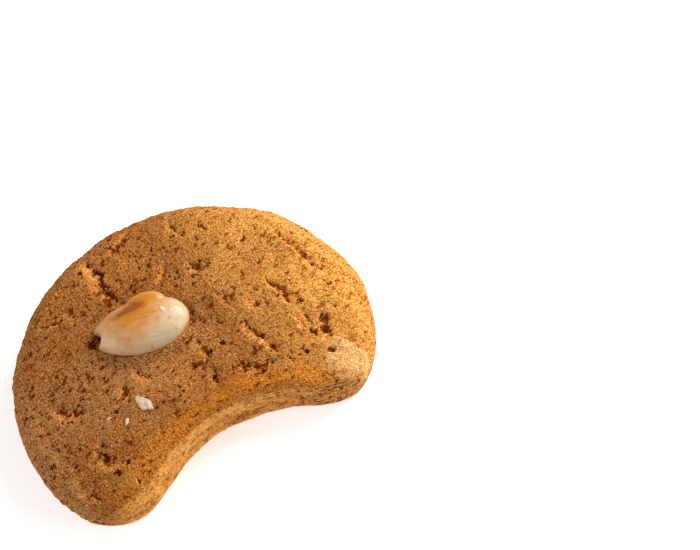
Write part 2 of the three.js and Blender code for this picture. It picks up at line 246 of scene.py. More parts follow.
# Pale nut chips baked into the crust: x, y, heading in degrees, length, width, height
CHIPS = [
    (-12.5, -11.3, -65, 4.9, 2.5, 1.2),
    (-17.3, -13.0, 49, 1.8, 0.8, 0.7),
    (-20.2, -10.2, 22, 1.1, 0.55, 0.6),
]
CHIP_SLICES = 26
CHIP_SIDES = 22
CHIP_BUMPS = 0.13
CHIP_FLATTENED = 0.6

# Almond: its tip points to -X in its own frame, and its girdle is just above the crust
ALMOND_LENGTH = 20.8
ALMOND_WIDTH = 12.2
ALMOND_CROWN = 3.9
ALMOND_BELLY = 2.8
ALMOND_TAPER = 0.08
ALMOND_PLACE = (-5.1, 3.95)
ALMOND_HEADING = math.radians(-15)
ALMOND_RAISED = 0.5
NOTCH_SIZE = (2.0, 1.9)
NOTCH_PLACE = (-10.2, -0.35)
FLAP_SIZE = np.array((4.2, 2.2, 1.9))
FLAP_PLACE = np.array((2.2, 4.5, 1.3))
ALMOND_SLICES = 170
ALMOND_SIDES = 120

# Marks on the almond in its own frame: dots, a nick in its crown, a brown zone along the valley beside the
# flap, and a painted glint whose zone is measured from the nick
ALMOND_DOTS = [(4.2, -0.9), (6.5, -1.2), (7.3, -3.5), (1.5, -5.8), (-2.6, -3.4)]
DOT_SIZE = 0.3
ALMOND_NICK = (4.8, 1.4)
VALLEY_BROWN_ZONE = (-0.8, 3.3, 3.8, 1.1)
GLINT_ZONE = (0.5, -0.3, 0.22, 0.45)

# The almond's seat: the crust is pushed up along its near side, and dented at its two ends. Each dent has
# x, y, reach along X and Y in the almond's own frame, and a depth.
SEAT_BANK = 0.65
SEAT_DEPTH = 3
SEAT_GAP = 0.55
SEAT_DENTS = [
    (10.9, 0.6, 1.6, 2.6, 0.8),
    (-9.6, -0.8, 1.8, 1.6, 0.4),
]

# Studio lights, all turned to one target: name, place, size, power, colour
LIGHTS = [
    ("key", (215, 65, 140), 180, 0.83, (1, 0.96, 0.9)),
    ("left", (-310, 40, 160), 250, 0.56, (1, 1, 1)),
    ("front", (370, -320, 190), 300, 1.02, (1, 1, 1)),
]
LIGHT_TARGET = (0, 0, 5)
WORLD_STRENGTH = 0.32
FLOOR_SIZE = 4000
FLOOR_GLOW = 0.42

# The photograph's view: where its camera stood, and the pixel that shows the middle of the back's circle
VIEW_AZIMUTH = math.radians(-3.31)
VIEW_ELEVATION = math.radians(64)
VIEW_ROLL = math.radians(-26.9)
VIEW_DISTANCE = 576
VIEW_SCALE = 4.796
VIEW_PIXEL = (198.2, 378.5)
IMAGE_SIZE = (700, 550)
SENSOR = 36


def smoothstep(low, high, value):
    t = np.clip((value - low) / (high - low), 0, 1)
    return t * t * (3 - 2 * t)


def in_zone(x, y, zone):
    """1 in the middle of an oval zone, given as x, y and its reach along X and Y, and less away from it."""
    zone_x, zone_y, reach_x, reach_y = zone
    return np.exp(-(((x - zone_x) / reach_x) ** 2) - ((y - zone_y) / reach_y) ** 2)


def tip_centre():
    to_back = BACK_RADIUS - TIP_RADIUS
    to_hollow = HOLLOW_RADIUS + TIP_RADIUS
    y = (to_hollow**2 - to_back**2 - HOLLOW_DISTANCE**2) / (2 * HOLLOW_DISTANCE)
    return math.sqrt(to_back**2 - y**2), y


TIP_X, TIP_Y = tip_centre()
BOX_Y = (BACK_RADIUS + TIP_Y - TIP_RADIUS) / 2
HEART_Y = HEART_BACK - BOX_Y
BACK_ANGLE = math.atan2(TIP_Y, TIP_X)
HOLLOW_ANGLE = math.atan2(TIP_Y + HOLLOW_DISTANCE, TIP_X)

# The outline as five arcs, anticlockwise from the middle of the hollow: centre, radius, sign, start, end
ARCS = [
    (0, -HOLLOW_DISTANCE, HOLLOW_RADIUS, -1, math.pi / 2, HOLLOW_ANGLE),
    (TIP_X, TIP_Y, TIP_RADIUS, 1, HOLLOW_ANGLE - math.pi, BACK_ANGLE),
    (0, 0, BACK_RADIUS, 1, BACK_ANGLE, math.pi - BACK_ANGLE),
    (-TIP_X, TIP_Y, TIP_RADIUS, 1, math.pi - BACK_ANGLE, 2 * math.pi - HOLLOW_ANGLE),
    (0, -HOLLOW_DISTANCE, HOLLOW_RADIUS, -1, math.pi - HOLLOW_ANGLE, math.pi / 2),
]
PERIMETER = sum(abs(end - start) * radius for _, _, radius, _, start, end in ARCS)


def outline(share, inset):
    """The outline's points a share of the way round, moved in by an inset."""
    walk = np.mod(share + 0.25, 1) * PERIMETER
    x = np.zeros_like(walk)
    y = np.zeros_like(walk)
    begin = 0
    for cx, cy, radius, sign, start, end in ARCS:
        length = abs(end - start) * radius
        angle = start + (end - start) * (walk - begin) / length
        reach = radius - sign * inset
        here = walk >= begin
        x = np.where(here, STRETCH_X * (cx + reach * np.cos(angle)), x)
        y = np.where(here, cy + reach * np.sin(angle) - BOX_Y, y)
        begin += length
    return x, y


def inset_at(x, y):
    """How far inside the outline a point lies, and how far from the hollow's edge."""
    px, py = np.abs(x / STRETCH_X), y + BOX_Y
    around_tip = np.arctan2(py - TIP_Y, px - TIP_X)
    in_tip = (around_tip > HOLLOW_ANGLE - math.pi) & (around_tip < BACK_ANGLE)
    from_tip = TIP_RADIUS - np.hypot(px - TIP_X, py - TIP_Y)
    from_back = BACK_RADIUS - np.hypot(px, py)
    from_hollow = np.hypot(px, py + HOLLOW_DISTANCE) - HOLLOW_RADIUS
    return np.where(in_tip, from_tip, np.minimum(from_back, from_hollow)), from_hollow


def swell_at(x, y):
    height = 0
    for i in range(SWELL_COUNT):
        shrink = SWELL_SHRINK**i
        along = x * math.cos(i * GOLDEN_TURN) + y * math.sin(i * GOLDEN_TURN)
        phase = 2 * math.pi * along / (SWELL_LENGTH * shrink) + i * i
        height = height + SWELL_HEIGHT * shrink * np.sin(phase)
    return height


def edge_at(x, y):
    """The section of the nearest edge: the wall's top, its lean, the rim's run and its rise."""
    px, py = x / STRETCH_X, y + BOX_Y
    from_back = BACK_RADIUS - np.hypot(px, py)
    from_hollow = np.hypot(px, py + HOLLOW_DISTANCE) - HOLLOW_RADIUS
    share = smoothstep(-EDGE_BLEND, EDGE_BLEND, from_back - from_hollow)
    return [back + share * (hollow - back) for back, hollow in zip(BACK_EDGE, HOLLOW_EDGE)]


def crust_height(x, y):
    """Height of the untorn crust above the table."""
    wall_top, lean, run, rise = edge_at(x, y)
    reach = np.clip((inset_at(x, y)[0] - lean) / run, 0, 1)
    dome = DOME_RISE * (1 - (x / DOME_REACH[0]) ** 2 - ((y - HEART_Y) / DOME_REACH[1]) ** 2)
    rim = rise * np.sqrt(1 - (1 - reach) ** 2)
    return wall_top + rim + smoothstep(0, 1, reach) * (dome + swell_at(x, y))


def folded_grid():
    """The ring, 0 to 1, and the share of the way round of each point of a square grid folded onto rings."""
    steps = np.arange(-RINGS, RINGS + 1) / RINGS
    a, b = np.meshgrid(steps, steps, indexing="ij")
    ring = np.maximum(np.abs(a), np.abs(b))
    p, q = a / np.maximum(ring, 1 / RINGS), b / np.maximum(ring, 1 / RINGS)
    share = np.select([p == 1, q == 1, p == -1], [q / 8, 1 / 4 - p / 8, 1 / 2 - q / 8], 3 / 4 + p / 8)
    return ring.ravel(), share.ravel()


def edge_rows(share):
    """Inset and height of each row below the top sheet. A height of None is the crust's own."""
    wall_top, lean, run, _ = edge_at(*outline(share, np.zeros_like(share)))
    rows = []
    for i in range(1, RIM_ROWS + 1):
        rows.append((lean + run * (1 - math.cos(RIM_LEAN * (1 - i / RIM_ROWS))), None))
    for i in range(1, WALL_ROWS + 1):
        down = i / WALL_ROWS
        rows.append((lean * (1 - down), wall_top + (FOOT_RADIUS - wall_top) * down))
    for i in range(1, FOOT_ROWS + 1):
        angle = math.pi / 2 * i / FOOT_ROWS
        level = np.full_like(share, FOOT_RADIUS)
        rows.append((level * (1 - math.cos(angle)), level * (1 - math.sin(angle))))
    return rows


def plain_loaf():
    """Points and faces of the biscuit before any relief: top sheet, edge and flat underside."""
    ring, share = folded_grid()
    _, lean, run, _ = edge_at(*outline(share, np.zeros_like(share)))
    edge_x, edge_y = outline(share, lean + run * (1 - math.cos(RIM_LEAN)))
    x, y = ring * edge_x, HEART_Y + ring * (edge_y - HEART_Y)
    points = [np.column_stack([x, y, crust_height(x, y)])]

    side = 2 * RINGS + 1
    index = np.arange(side * side).reshape(side, side)
    top = np.stack([index[:-1, :-1], index[1:, :-1], index[1:, 1:], index[:-1, 1:]], -1).reshape(-1, 4)
    rim_index = np.zeros(COLUMNS, int)
    on_rim = np.flatnonzero(ring == 1)
    rim_index[np.rint(share[on_rim] * COLUMNS).astype(int) % COLUMNS] = on_rim

    columns = np.arange(COLUMNS) / COLUMNS
    for inset, height in edge_rows(columns):
        x, y = outline(columns, inset)
        if height is None:
            points.append(np.column_stack([x, y, crust_height(x, y)]))
            continue
        wave = swell_at(x + WALL_SLANT[0] * height, y + WALL_SLANT[1] * height) / SWELL_HEIGHT
        fade = smoothstep(WALL_FADE[1], WALL_FADE[0], height) * smoothstep(0, FOOT_RADIUS / 2, height)
        x, y = outline(columns, inset - WALL_WOBBLE * fade * wave)
        points.append(np.column_stack([x, y, height]))
    foot = points[-1]
    for i in range(1, BASE_ROWS):
        keep = 1 - (i / BASE_ROWS) ** 2
        x, y = keep * foot[:, 0], HEART_Y + keep * (foot[:, 1] - HEART_Y)
        points.append(np.column_stack([x, y, np.zeros(COLUMNS)]))
    points.append(np.array([[0, HEART_Y, 0]]))

    faces = [top]
    above = rim_index
    for row in range(1, len(points) - 1):
        below = side * side + (row - 1) * COLUMNS + np.arange(COLUMNS)
        faces.append(np.column_stack([above, below, np.roll(below, -1), np.roll(above, -1)]))
        above = below
    middle = np.full(COLUMNS, above[-1] + 1)
    fan = np.column_stack([middle, np.roll(above, -1), above])
    return np.concatenate(points), np.concatenate(faces), fan


def point_normals(points, quads, fan):
    normals = np.zeros_like(points)
    for corners in (quads[:, [0, 1, 2]], quads[:, [0, 2, 3]], fan):
        a, b, c = (points[corners[:, i]] for i in range(3))
        facing = np.cross(b - a, c - a)
        for i in range(3):
            np.add.at(normals, corners[:, i], facing)
    return normals / np.linalg.norm(normals, axis=1, keepdims=True)


def rough(points, size, octaves=1, shift=0):
    """Smooth random values with a mean of 0 and a spread of 1, with bumps of a given size."""
    places = points @ NOISE_TURN / size + shift
    values = np.array([noise.fractal(p, 0.7, 2, octaves) for p in places.tolist()])
    return (values - values.mean()) / values.std()


def almond_local(x, y):
    """Plan coordinates in the almond's own frame."""
    dx, dy = x - ALMOND_PLACE[0], y - ALMOND_PLACE[1]
    c, s = math.cos(ALMOND_HEADING), math.sin(ALMOND_HEADING)
    return c * dx + s * dy, c * dy - s * dx


def almond_fullness(along):
    """The almond's width along its length, from -1 at its tip to 1, as a share of an ellipsoid's."""
    peak = ALMOND_TAPER / (2 + ALMOND_TAPER)
    widest = math.sqrt(1 - peak**2) * ((1 + peak) / 2) ** ALMOND_TAPER
    return (np.clip(1 + along, 0.001, 2) / 2) ** ALMOND_TAPER / widest


def beside_almond(x, y):
    """Distance outside the almond's outline, negative inside it."""
    u, v = almond_local(x, y)
    along = 2 * u / ALMOND_LENGTH
    kernel = np.hypot(along, 2 * v / (ALMOND_WIDTH * almond_fullness(along))) - 1
    flap = np.hypot((u - FLAP_PLACE[0]) / FLAP_SIZE[0], (v - FLAP_PLACE[1]) / FLAP_SIZE[1]) - 1
    return np.minimum(kernel * ALMOND_WIDTH / 2, flap * FLAP_SIZE[1])


def short_tears():
    """Rows like those of TEARS, scattered over the crust away from its edges and from the almond."""
    draw = np.random.default_rng(SHORT_TEAR_SEED)
    rows = []
    while len(rows) < SHORT_TEAR_COUNT:
        x, y = (draw.uniform(-reach, reach) for reach in SHORT_TEAR_BOX)
        distances = (*inset_at(x, y), beside_almond(x, y))
        if all(distance > least for distance, least in zip(distances, SHORT_TEAR_CLEAR)):
            heading = draw.normal(*SHORT_TEAR_HEADING)
            sizes = [draw.uniform(*span) for span in SHORT_TEAR_SIZES]
            rows.append((x, y, heading, *sizes))
    return rows


def beside_line(x, y, line_x, line_y, heading):
    """Distances along a line from its middle, and across it towards +X."""
    angle = math.radians(heading)
    c, s = math.cos(angle), math.sin(angle)
    dx, dy = x - line_x, y - line_y
    return dx * c + dy * s, math.copysign(1, -s) * (dy * c - dx * s)


def tear_share(x, y, tear, index, spread=1):
    """1 along the middle of a tear, and less towards its sides and ends, with its width times a spread."""
    tear_x, tear_y, heading, length, width, _ = tear
    along, across = beside_line(x, y, tear_x, tear_y, heading)
    across = across - TEAR_SWAY * np.sin(2 * math.pi * along / TEAR_SWAY_LENGTH + TEAR_PHASE * index)
    t = np.clip(2 * along / length, -1, 1)
    taper = TEAR_END + (1 - TEAR_END) * np.sqrt(1 - t * t)
    past = np.maximum(np.abs(along) - length / 2, 0)
    return np.exp(-((across / (0.6 * spread * width * taper)) ** 2) - (past / (0.5 * spread)) ** 2)


def ledge_height(x, y, ledge, sway):
    """Height of the crust beside a ledge, and 1 on the ledge's face, which is painted lighter as a lit
    face.
    """
    ledge_x, ledge_y, heading, length, height = ledge
    along, across = beside_line(x, y, ledge_x, ledge_y, heading)
    across = across + sway
    fade = smoothstep(1, 0.5, np.abs(2 * along / length))
    upper = height * np.exp(np.minimum(across, 0) / 2)
    lower = -0.6 * height * np.exp(-np.maximum(across, 0) / 1.5)
    step = smoothstep(-0.15, 0.15, across)
    return fade * (upper + step * (lower - upper)), fade * np.exp(-((across / 0.4) ** 2))


def crease_depth(share, height, crease, index):
    start, end, level, width, depth = crease
    t = 2 * np.mod(share - start, 1) / (end - start) - 1
    within = np.abs(t) < 1
    taper = np.where(within, np.sqrt(np.clip(1 - t * t, 0, 1)), 0)
    away = np.abs(height - level - CREASE_SWAY * np.sin(CREASE_BENDS * t + TEAR_PHASE * index))
    return depth * taper * (1 - smoothstep(0.1, 0.5 * width, away))


def srgb(red, green, blue):
    """A linear colour from the 0 to 255 values that a screen shows."""
    channels = [c / 255 for c in (red, green, blue)]
    return tuple(c / 12.92 if c <= 0.04045 else ((c + 0.055) / 1.055) ** 2.4 for c in channels) + (1,)


def darker_redder(share):
    """A factor that leaves a share of a colour's red and less of its green and blue, so that the dark marks
    and painted shade that it makes turn redder.
    """
    return share, share**2.7, share**6, 1


def mesh_piece(name, points, faces, attributes, look):
    """A smooth mesh object in metres, with one value a point for each attribute."""
    mesh = bpy.data.meshes.new(name)
    mesh.from_pydata((points * MM).tolist(), [], faces)
    for key, values in attributes.items():
        mesh.attributes.new(key, "FLOAT", "POINT").data.foreach_set("value", values.astype(np.float32))
    mesh.shade_smooth()
    mesh.materials.append(look)
    piece = bpy.data.objects.new(name, mesh)
    bpy.context.scene.collection.objects.link(piece)
    return piece


class Look:
    """One material's node tree, built by short calls that return output sockets."""

    def __init__(self, name):
        self.material = bpy.data.materials.new(name)
        self.material.use_nodes = True
        self.tree = self.material.node_tree
        self.shader = self.tree.nodes["Principled BSDF"]
        self.place = self.node("ShaderNodeTexCoord").outputs["Object"]

    def node(self, kind, **settings):
        node = self.tree.nodes.new(kind)
        for key, value in settings.items():
            setattr(node, key, value)
        return node

    def feed(self, socket, value):
        if isinstance(value, bpy.types.NodeSocket):
            self.tree.links.new(value, socket)
        else:
            socket.default_value = value

    def value(self, name):
        return self.node("ShaderNodeAttribute", attribute_name=name).outputs["Fac"]

    def drawn_out(self, stretch, heading=0):
        """Coordinates that draw a texture out along axes turned about Z by a heading."""
        node = self.node("ShaderNodeMapping", vector_type="TEXTURE")
        self.feed(node.inputs["Vector"], self.place)
        node.inputs["Rotation"].default_value = (0, 0, math.radians(heading))
        node.inputs["Scale"].default_value = stretch
        return node.outputs["Vector"]

    def grain(self, size, detail=2, sharpness=0.55, twist=0, stretch=(1, 1, 1)):
        """Smooth noise, 0 to 1, with grains of a given size, drawn out along the axes by a stretch."""
        node = self.node("ShaderNodeTexNoise")
        self.feed(node.inputs["Vector"], self.drawn_out(stretch))
        node.inputs["Scale"].default_value = 1 / (size * MM)
        node.inputs["Detail"].default_value = detail
        node.inputs["Roughness"].default_value = sharpness
        node.inputs["Distortion"].default_value = twist
        return node.outputs["Fac"]

    def cells(self, size):
        """A random value for each grain of a loose lattice, 0 to 1, and the distance from its middle."""
        node = self.node("ShaderNodeTexVoronoi")
        self.feed(node.inputs["Vector"], self.place)
        node.inputs["Scale"].default_value = 1 / (size * MM)
        return self.red(node.outputs["Color"]), node.outputs["Distance"]

    def pores(self, size, radius, share, warp, stretch=(1, 1, 1), heading=0):
        """Distance outside ragged pores of up to a radius, in a share of the cells of a loose lattice."""
        sway = self.node("ShaderNodeTexNoise")
        self.feed(sway.inputs["Vector"], self.place)
        sway.inputs["Scale"].default_value = 1.5 / (size * MM)
        sway.inputs["Detail"].default_value = 4
        sway.inputs["Roughness"].default_value = 0.7
        shift = self.node("ShaderNodeVectorMath", operation="MULTIPLY_ADD")
        self.feed(shift.inputs[0], sway.outputs["Color"])
        shift.inputs[1].default_value = [warp * MM] * 3
        self.feed(shift.inputs[2], self.drawn_out(stretch, heading))
        node = self.node("ShaderNodeTexVoronoi")
        self.feed(node.inputs["Vector"], shift.outputs["Vector"])
        node.inputs["Scale"].default_value = 1 / (size * MM)
        chosen = self.math("SUBTRACT", self.red(node.outputs["Color"]), 1 - share)
        reach = self.times(chosen, radius / share)
        return self.math("SUBTRACT", self.times(node.outputs["Distance"], size), reach)

    def red(self, colour):
        node = self.node("ShaderNodeSeparateColor")
        self.feed(node.inputs["Color"], colour)
        return node.outputs["Red"]

    def band(self, value, low, high):
        """Maps low to 0 and high to 1, smoothly and held there outside."""
        node = self.node("ShaderNodeMapRange", interpolation_type="SMOOTHSTEP")
        self.feed(node.inputs["Value"], value)
        node.inputs["From Min"].default_value = low
        node.inputs["From Max"].default_value = high
        return node.outputs["Result"]

    def math(self, operation, a, b):
        node = self.node("ShaderNodeMath", operation=operation)
        self.feed(node.inputs[0], a)
        self.feed(node.inputs[1], b)
        return node.outputs["Value"]

    def times(self, a, b):
        return self.math("MULTIPLY", a, b)

    def mix(self, a, b, factor, blend="MIX"):
        """Mixes two colours. The node's sockets for colours come after those for numbers and vectors."""
        node = self.node("ShaderNodeMix", data_type="RGBA", blend_type=blend)
        self.feed(node.inputs["Factor"], factor)
        self.feed(node.inputs[6], a)
        self.feed(node.inputs[7], b)
        return node.outputs[2]

    def bump(self, height, depth, strength=1, below=None):
        node = self.node("ShaderNodeBump")
        node.inputs["Strength"].default_value = strength
        node.inputs["Distance"].default_value = depth * MM
        self.feed(node.inputs["Height"], height)
        if below is not None:
            self.feed(node.inputs["Normal"], below)
        return node.outputs["Normal"]

    def finish(self, colour, roughness, normal, **constants):
        self.feed(self.shader.inputs["Base Color"], colour)
        self.feed(self.shader.inputs["Roughness"], roughness)
        self.feed(self.shader.inputs["Normal"], normal)
        for key, value in constants.items():
            self.shader.inputs[key.replace("_", " ")].default_value = value
        return self.material


def crust_marks(look):
    """Sockets that mark the crust's surface: its holes, crumbs and painted lit faces, pores, pricks,
    layers, grains and sugar.
    """
    marks = SimpleNamespace()
    layered = look.value("layered")
    ragged = look.times(look.math("SUBTRACT", look.grain(0.4, 2, 0.6), 0.5), 1.6)
    marks.mouth = look.math("ADD", look.value("opening"), ragged)
    marks.hole = look.band(marks.mouth, 0.15, 0.5)
    # Crumb colour round openings, and painted light on ledge faces and tear banks
    marks.crumb = look.math("MAXIMUM", look.band(marks.mouth, -0.5, 0.1), look.value("face"))
    marks.crumb_height, marks.crumb_side = look.cells(0.4)
    marks.grain, _ = look.cells(0.24)
    crowd = look.times(look.band(look.grain(4, 2), 0.6, 0.4), 0.16)
    beside_pore = look.math("ADD", look.pores(0.9, 0.45, 0.65, 1.6, (1.7, 1, 1), 17), crowd)
    marks.pore = look.band(beside_pore, 0.03, -0.05)
    marks.dimple = look.band(beside_pore, 0.15, -0.15)
    marks.prick = look.band(look.pores(0.4, 0.19, 0.7, 0.4), 0.02, -0.02)
    marks.beside_sugar = look.pores(1.6, 0.3, 0.12, 1)
    stroke = look.band(look.pores(0.55, 0.34, 0.78, 0.7, (2.4, 2.4, 1)), 0.03, -0.05)
    marks.layer = look.times(stroke, layered)
    fibre = look.grain(0.34, 3, 0.65, 0.3, (2.8, 2.8, 1))
    marks.ridge = look.times(look.band(fibre, 0.46, 0.36), layered)
    marks.cut = look.math("MAXIMUM", look.value("wall"), layered)
    marks.uncut = look.math("SUBTRACT", 1, marks.cut)
    marks.unfloured = look.math("SUBTRACT", 1, look.times(look.value("flour"), 0.88))
    return marks


def zone_colour(look, marks):
    """The crust's colour by its zones, before its fine marks."""
    patch = look.band(look.grain(6, 3), 0.3, 0.62)
    warm = look.band(look.grain(2.2, 4, 0.65), 0.5, 0.68)
    colour = look.mix(srgb(162, 113, 68), srgb(167, 109, 51), patch)
    for zone, shade, strength in ZONE_COLOURS:
        colour = look.mix(colour, srgb(*shade), look.times(look.value(zone), strength))
    colour = look.mix(colour, RUDDY_TINT, look.value("ruddy"), "MULTIPLY")
    colour = look.mix(colour, srgb(210, 150, 94), look.times(look.value("foot"), 0.5))
    colour = look.mix(colour, srgb(188, 110, 34), look.times(warm, 0.3))
    # Lighter crumb round openings, and painted light on ledge faces and tear banks
    colour = look.mix(colour, srgb(228, 160, 80), look.times(marks.crumb, 0.55))
    return look.mix(colour, srgb(244, 200, 144), look.times(look.value("flour"), 0.85))


def darkened(look, colour, factor, share, golden_share=None):
    """A colour darkened and reddened by a factor to a share of its red, or to another share where the crust
    is golden.
    """
    tint = darker_redder(share)
    if golden_share is not None:
        tint = look.mix(tint, darker_redder(golden_share), look.value("golden"))
    return look.mix(colour, tint, factor, "MULTIPLY")


def marked_colour(look, colour, marks):
    """The crust's colour with its light and dark marks."""
    golden = look.value("golden")
    # Pale flecks on crumbs and layers, and painted light on lit faces
    broken = look.math("MAXIMUM", marks.crumb, look.times(look.value("layered"), 0.5))
    fleck = look.times(broken, look.band(marks.crumb_height, 0.55, 0.75))
    colour = look.mix(colour, srgb(250, 204, 134), look.times(fleck, 0.6))
    colour = look.mix(colour, srgb(246, 200, 134), look.times(look.band(marks.grain, 0.7, 1), 0.33))
    grained = look.math("SUBTRACT", marks.unfloured, look.times(marks.cut, 0.4))
    colour = darkened(look, colour, look.times(look.band(marks.grain, 0.3, 0), grained), 0.65)
    # Painted shade in the crevices between crumbs
    colour = darkened(look, colour, look.band(marks.crumb_side, 0.35, 0.65), 0.87)
    bright = look.times(look.band(marks.crumb_height, 0.7, 0.95), golden)
    colour = look.mix(colour, srgb(252, 206, 128), look.times(bright, 0.25))
    orange = look.times(look.band(marks.crumb_height, 0.3, 0.05), golden)
    colour = darkened(look, colour, look.times(orange, marks.unfloured), 0.82)
    # Pricks and pores darkened: partly the crust's own dark specks and partly painted shade in small pits
    pricked = look.times(look.times(marks.prick, marks.unfloured), look.math("MAXIMUM", marks.uncut, 0.25))
    colour = darkened(look, colour, pricked, 0.48, 0.67)
    pored = look.times(look.times(marks.pore, marks.unfloured), marks.uncut)
    colour = darkened(look, colour, pored, 0.49, 0.69)
    colour = darkened(look, colour, marks.layer, 0.5)
    colour = look.mix(colour, srgb(255, 204, 124), look.times(marks.ridge, 0.45))
    # Holes and tear mouths darkened, most where deepest: painted shade inside them
    colour = darkened(look, colour, marks.hole, 0.74, 0.81)
    colour = darkened(look, colour, look.band(marks.mouth, 0.5, 1.3), 0.69)
    # Painted contact shadow in the gap round the almond
    colour = look.mix(colour, srgb(120, 58, 16), look.times(look.value("gap"), 0.6))
    colour = darkened(look, colour, look.band(marks.beside_sugar, 0.25, 0.05), 0.69)
    sugar = look.times(look.band(marks.beside_sugar, 0.03, -0.05), look.band(marks.grain, 0.1, 0.4))
    return look.mix(colour, srgb(232, 208, 170), look.times(sugar, 0.75))


def crust_look():
    look = Look("crust")
    marks = crust_marks(look)
    colour = marked_colour(look, zone_colour(look, marks), marks)
    roughness = look.math("ADD", 0.75, look.times(look.band(look.grain(0.6, 2), 0.2, 0.9), 0.2))
    normal = look.bump(marks.dimple, -0.18)
    normal = look.bump(look.band(marks.mouth, -0.2, 0.9), -0.45, below=normal)
    normal = look.bump(marks.layer, -0.2, below=normal)
    normal = look.bump(marks.crumb_side, -0.2, below=normal)
    normal = look.bump(marks.crumb_height, 0.05, below=normal)
    return look.finish(colour, roughness, normal, Specular_IOR_Level=0.03)


def crust_noises(points):
    return SimpleNamespace(
        **{name: rough(points * squeeze, *sizes) for name, (squeeze, *sizes) in NOISES.items()}
    )


def crust_zones(points, normals, noises):
    """Shares, 0 to 1, of each point in the zones of the crust."""
    x, y, z = points.T
    _, from_hollow = inset_at(x, y)
    facing_up = normals[:, 2]
    zones = SimpleNamespace()
    zones.upward = smoothstep(0.2, 0.6, facing_up)
    zones.edge = smoothstep(0.9, 0.5, facing_up)
    zones.base = smoothstep(0.5, 0.9, -facing_up)
    zones.wall = (1 - smoothstep(0.25, 0.7, facing_up)) * smoothstep(8, 3, from_hollow)
    zones.rim = np.exp(-(((from_hollow - RIM_INSET) / RIM_SPREAD) ** 2)) * zones.upward
    # Golden is partly painted light towards the key lamp's side, and is held back on slopes that face the
    # key lamp as painted shade that evens out their lighting
    facing_key_light = smoothstep(0.2, 0.8, normals @ (0.95, 0.3, 0))
    golden = smoothstep(*GOLDEN_SPAN, x + 0.1 * y + 1.5 * noises.broad)
    zones.golden = golden * (1 - zones.wall) * (1 - 0.3 * facing_key_light)
    along, across = beside_line(x, y, *FLOUR_LEDGE[:3])
    across = across + 0.12 * noises.middling
    flour = smoothstep(*FLOUR_ACROSS, across + 0.6 * noises.middling) * smoothstep(0.2, -0.2, across)
    flour = flour * smoothstep(*FLOUR_ALONG, along + 0.6 * noises.middling) * smoothstep(*FLOUR_ABOVE, z)
    zones.flour = flour * (1 - zones.wall)
    return zones


def tears_and_pits(points, share, zones):
    """How torn each point is, how deep that goes, the furrow round long tears and their banks on the -X
    side, which are painted lighter as lit faces.
    """
    x, y, z = points.T
    torn = np.zeros(len(points))
    furrow = np.zeros(len(points))
    face = np.zeros(len(points))
    depth = np.full(len(points), HOLE_DEPTH)
    for index, tear in enumerate(TEARS + short_tears()):
        *_, tear_width, tear_depth = tear
        profile = zones.upward * tear_share(x, y, tear, index)
        torn = np.maximum(torn, min(0.55 + 0.4 * tear_depth, 1) * profile)
        depth = np.maximum(depth, 0.55 * tear_depth * profile)
        if index < len(TEARS):
            furrow = np.maximum(furrow, tear_depth * zones.upward * tear_share(x, y, tear, index, 2.5))
            # Bank on the -X side of a long tear, painted lighter as a lit face
            bank = tear_share(x + 0.9 * tear_width, y, tear, index, 1.3)
            face = np.maximum(face, 0.7 * tear_depth * zones.upward * bank)
    for pit_x, pit_y, radius in PITS + SMALL_PITS:
        profile = zones.upward * in_zone(x, y, (pit_x, pit_y, 0.8 * radius, 0.8 * radius))
        torn = np.maximum(torn, 2 * profile)
        depth = np.maximum(depth, radius * profile)
    for index, crease in enumerate(WALL_CREASES):
        crease_profile = zones.wall * crease_depth(share, z, crease, index)
        torn = np.maximum(torn, 0.65 * crease_profile / crease[-1])
        depth = np.maximum(depth, crease_profile)
    return torn, depth, furrow, face


def ledges_of(points, zones, noises):
    """Height that all ledges together add, and 1 on their faces, which are painted lighter as lit faces."""
    x, y, _ = points.T
    sway = 0.3 * noises.middling + 0.1 * noises.fine
    heights, faces = zip(*(ledge_height(x, y, ledge, sway) for ledge in LEDGES))
    return zones.upward * sum(heights), zones.upward * np.maximum.reduce(faces)


def almond_seat(x, y, upward):
    """Height of the bank beside the almond, depth of the socket under it, and the gap round it, which also
    sets where a contact shadow is painted.
    """
    away = beside_almond(x, y)
    u, v = almond_local(x, y)
    near = smoothstep(1, -2, v) * smoothstep(10.5, 8.5, np.abs(u))
    bank = SEAT_BANK * near * smoothstep(2.2, 0, away)
    moat = 0.1 * (1 - near)
    for *dent, dent_depth in SEAT_DENTS:
        moat = moat + dent_depth * in_zone(u, v, dent)
    gap = upward * moat * np.exp(-((away / SEAT_GAP) ** 2))
    under_notch = in_zone(u, v, (*NOTCH_PLACE, *NOTCH_SIZE))
    under = (1 - smoothstep(-0.9, 0, away)) * (1 - 0.8 * under_notch)
    return bank, upward * SEAT_DEPTH * under + gap, gap


